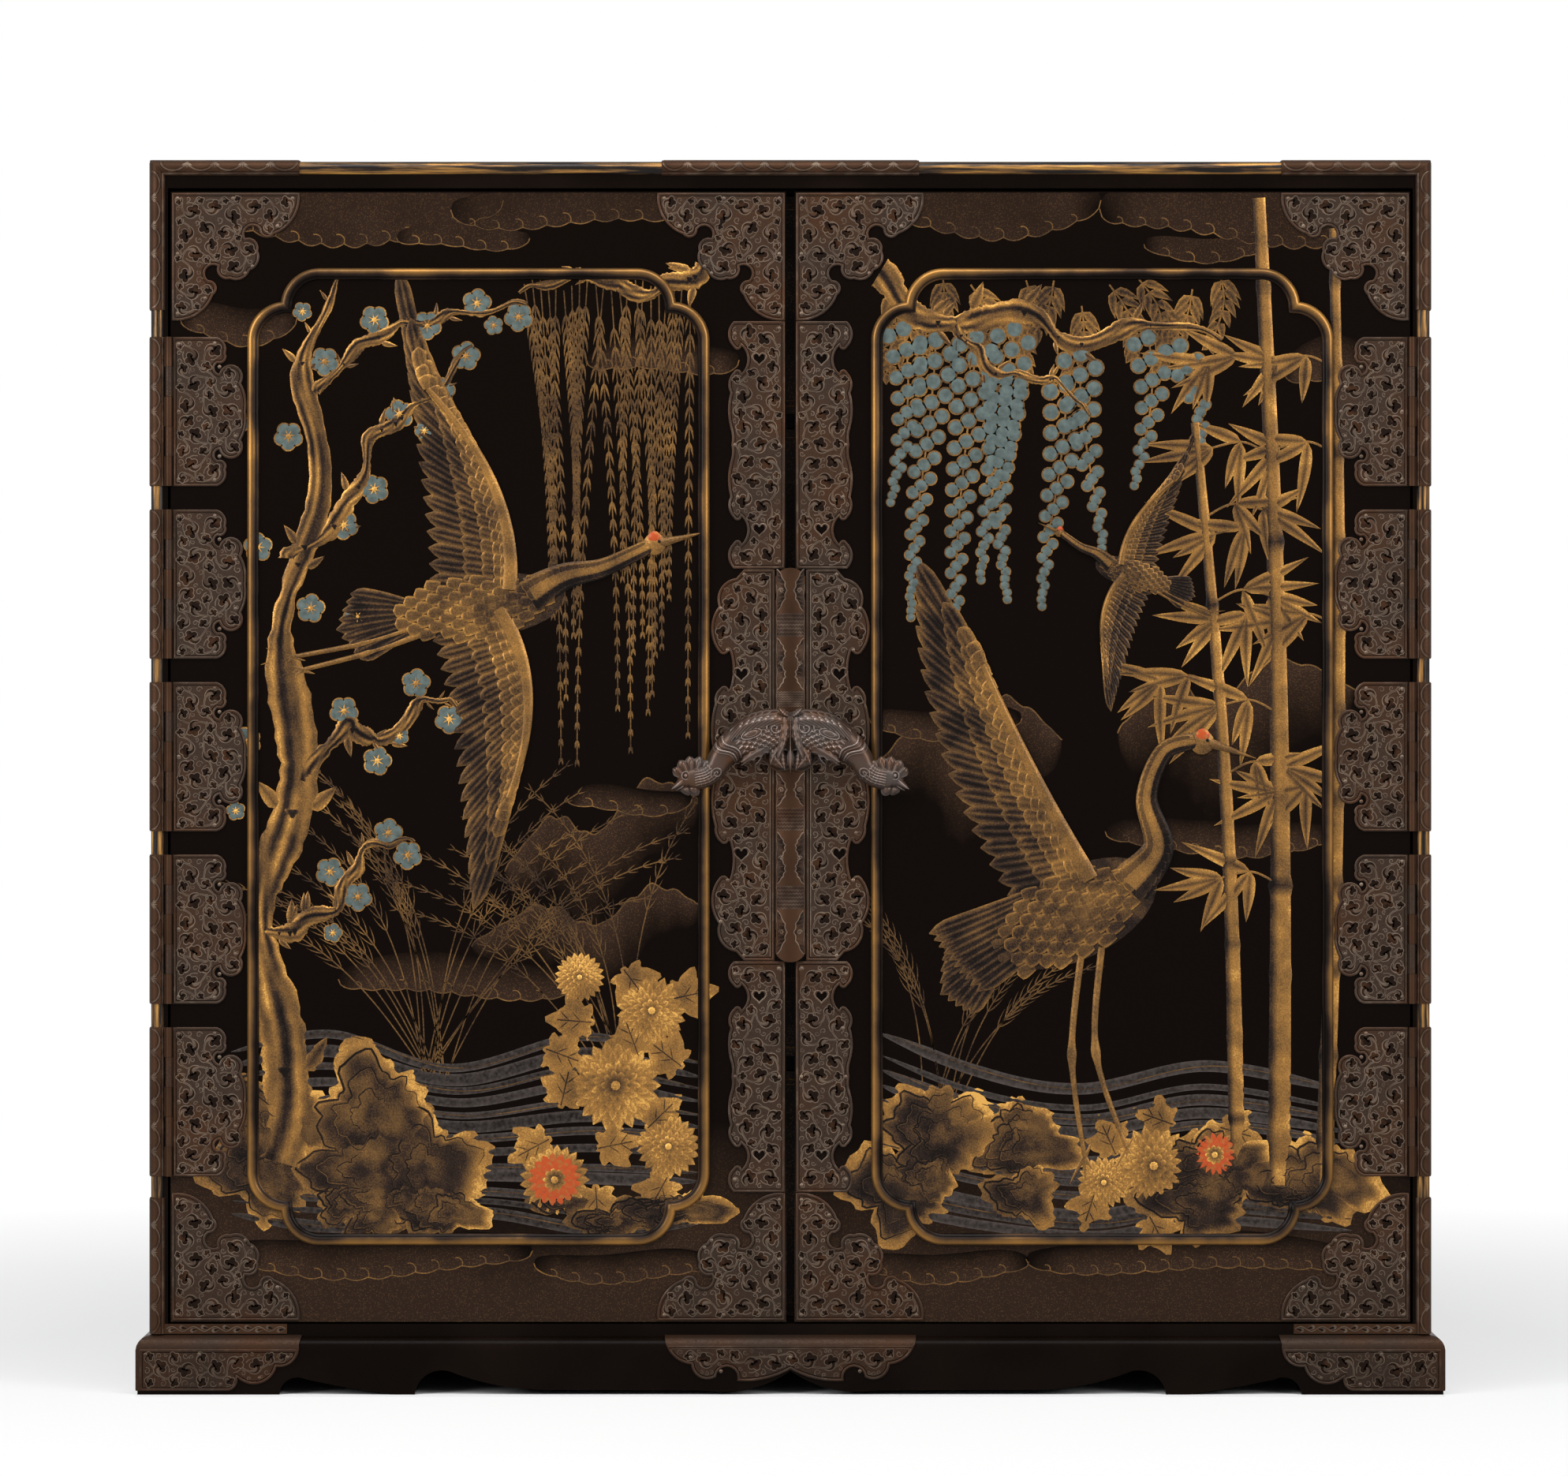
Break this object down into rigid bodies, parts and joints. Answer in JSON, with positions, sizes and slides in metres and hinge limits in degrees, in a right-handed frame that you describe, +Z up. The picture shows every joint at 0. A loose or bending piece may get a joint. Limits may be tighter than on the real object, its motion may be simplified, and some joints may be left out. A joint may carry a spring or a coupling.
{
  "type": "two-door lacquer cabinet",
  "caption": "Black lacquer cabinet on a cusped plinth: double doors on long rows of cusped hinges, engraved metal mounts, a bird-shaped latch, drawers inside.",
  "frame": {"origin": "on the floor, under the middle of the bounding box", "axes": "+X to the right as seen from the front, +Y from the doors to the back, +Z up"},
  "size_m": [0.9424, 0.5512, 0.889],
  "materials": {
    "black_lacquer": "glossy black lacquer over wood",
    "door_lacquer": "black lacquer with sprinkled gold",
    "drawer_lacquer": "lacquer with sprinkled gold",
    "gilt_lacquer": "worn gold lacquer",
    "engraved_copper": "patinated engraved copper",
    "cast_copper": "patinated cast copper",
    "gilt_brass": "worn gilding",
    "iron": "dark iron"
  },
  "bodies": {
    "case": {"back_panel": "black_lacquer", "bay_shelves": "black_lacquer", "bottom_board": "black_lacquer", "bottom_left_corner_mount": "engraved_copper", "bottom_right_corner_mount": "engraved_copper", "edge_bead": "gilt_lacquer", "left_case_hinge_leaves": "engraved_copper", "left_hinge_pins": "iron", "left_side_board": "black_lacquer", "left_upright": "black_lacquer", "lower_shelf": "black_lacquer", "plinth_back_rail": "black_lacquer", "plinth_centre_mount": "engraved_copper", "plinth_front_rail": "black_lacquer", "plinth_left_corner_mount": "engraved_copper", "plinth_left_rail": "black_lacquer", "plinth_right_corner_mount": "engraved_copper", "plinth_right_rail": "black_lacquer", "right_case_hinge_leaves": "engraved_copper", "right_hinge_pins": "iron", "right_side_board": "black_lacquer", "right_upright": "black_lacquer", "top_board": "black_lacquer", "top_centre_mount": "engraved_copper", "top_left_corner_mount": "engraved_copper", "top_right_corner_mount": "engraved_copper", "upper_shelf": "black_lacquer"},
    "left_door": {"left_door_board": "door_lacquer", "left_door_moulding": "gilt_lacquer", "left_door_hinge_leaves": "engraved_copper", "left_door_corner_plates": "engraved_copper", "left_door_lock_plate": "engraved_copper", "left_door_stile_plates": "engraved_copper", "lock_keep": "iron"},
    "right_door": {"right_door_board": "door_lacquer", "right_door_moulding": "gilt_lacquer", "right_door_hinge_leaves": "engraved_copper", "right_door_corner_plates": "engraved_copper", "right_door_lock_plate": "engraved_copper", "right_door_stile_plates": "engraved_copper", "lock_bar": "engraved_copper", "lock_case": "iron", "latch_pin": "cast_copper"},
    "latch": {"bird_latch": "cast_copper"},
    "bolt": {"lock_bolt": "iron"},
    "top_drawer": {"top_drawer": "drawer_lacquer", "top_knobs": "gilt_brass"},
    "left_upper_drawer": {"left_upper_drawer": "drawer_lacquer", "left_upper_knobs": "gilt_brass"},
    "left_lower_drawer": {"left_lower_drawer": "drawer_lacquer", "left_lower_knobs": "gilt_brass"},
    "centre_drawer": {"centre_drawer": "drawer_lacquer", "centre_knobs": "gilt_brass"},
    "right_upper_drawer": {"right_upper_drawer": "drawer_lacquer", "right_upper_knobs": "gilt_brass"},
    "right_lower_drawer": {"right_lower_drawer": "drawer_lacquer", "right_lower_knobs": "gilt_brass"},
    "bottom_drawer": {"bottom_drawer": "drawer_lacquer", "bottom_knobs": "gilt_brass"}
  },
  "joints": [
    {"name": "right_door_hinge", "type": "hinge", "parent": "case", "child": "right_door", "pos_m": [0.448, -0.25605, 0.45905], "axis": [0, 0, 1], "range_deg": [0, 170]},
    {"name": "left_door_hinge", "type": "hinge", "parent": "case", "child": "left_door", "pos_m": [-0.448, -0.25605, 0.45905], "axis": [0, 0, -1], "range_deg": [0, 170]},
    {"name": "latch_turn", "type": "hinge", "parent": "right_door", "child": "latch", "pos_m": [0, -0.25965, 0.46805], "axis": [0, -1, 0], "range_deg": [0, 90]},
    {"name": "bolt_slide", "type": "slide", "parent": "right_door", "child": "bolt", "axis": [-1, 0, 0], "range_m": [0, 0.014]},
    {"name": "top_drawer_slide", "type": "slide", "parent": "case", "child": "top_drawer", "axis": [0, -1, 0], "range_m": [0, 0.02]},
    {"name": "left_upper_drawer_slide", "type": "slide", "parent": "case", "child": "left_upper_drawer", "axis": [0, -1, 0], "range_m": [0, 0.02]},
    {"name": "left_lower_drawer_slide", "type": "slide", "parent": "case", "child": "left_lower_drawer", "axis": [0, -1, 0], "range_m": [0, 0.02]},
    {"name": "centre_drawer_slide", "type": "slide", "parent": "case", "child": "centre_drawer", "axis": [0, -1, 0], "range_m": [0, 0.02]},
    {"name": "right_upper_drawer_slide", "type": "slide", "parent": "case", "child": "right_upper_drawer", "axis": [0, -1, 0], "range_m": [0, 0.02]},
    {"name": "right_lower_drawer_slide", "type": "slide", "parent": "case", "child": "right_lower_drawer", "axis": [0, -1, 0], "range_m": [0, 0.02]},
    {"name": "bottom_drawer_slide", "type": "slide", "parent": "case", "child": "bottom_drawer", "axis": [0, -1, 0], "range_m": [0, 0.02]}
  ],
  "couplings": [
    {"joint": "left_door_hinge", "follows": "right_door_hinge", "ratio": 1}
  ]
}
